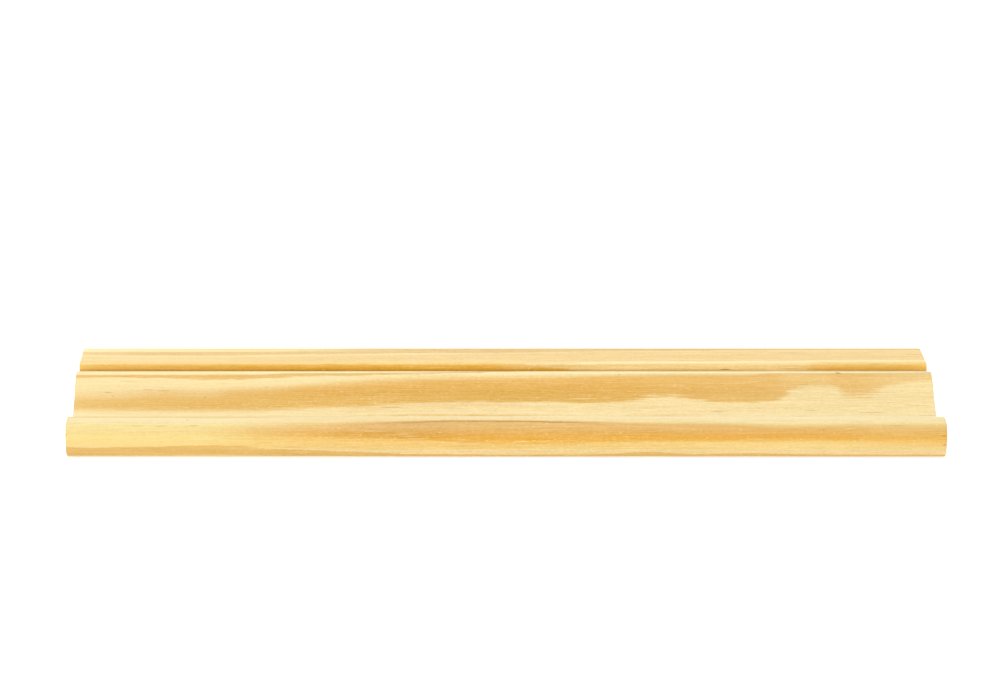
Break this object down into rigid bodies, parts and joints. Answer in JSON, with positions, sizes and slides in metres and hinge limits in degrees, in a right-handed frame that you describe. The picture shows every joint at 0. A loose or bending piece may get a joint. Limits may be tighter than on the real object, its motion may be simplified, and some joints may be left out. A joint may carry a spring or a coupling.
{
  "type": "ogee casing moulding",
  "caption": "Length of bare pine door and window casing: a rounded bead, a hollow-and-round ogee, a narrow flat, a quirk groove and a broad flat outer band, cut square at both ends.",
  "frame": {"origin": "centre of the back, on the plane that lies against the wall", "axes": "+X along the moulding's length, +Y across its width from the bead to the outer band, +Z out of the back through the moulded face"},
  "size_m": [0.3048, 0.0572, 0.0175],
  "materials": {
    "bare_pine": "bare sanded softwood, matt, straight grain along the length"
  },
  "bodies": {
    "root": {"ogee_casing": "bare_pine"}
  },
  "joints": []
}
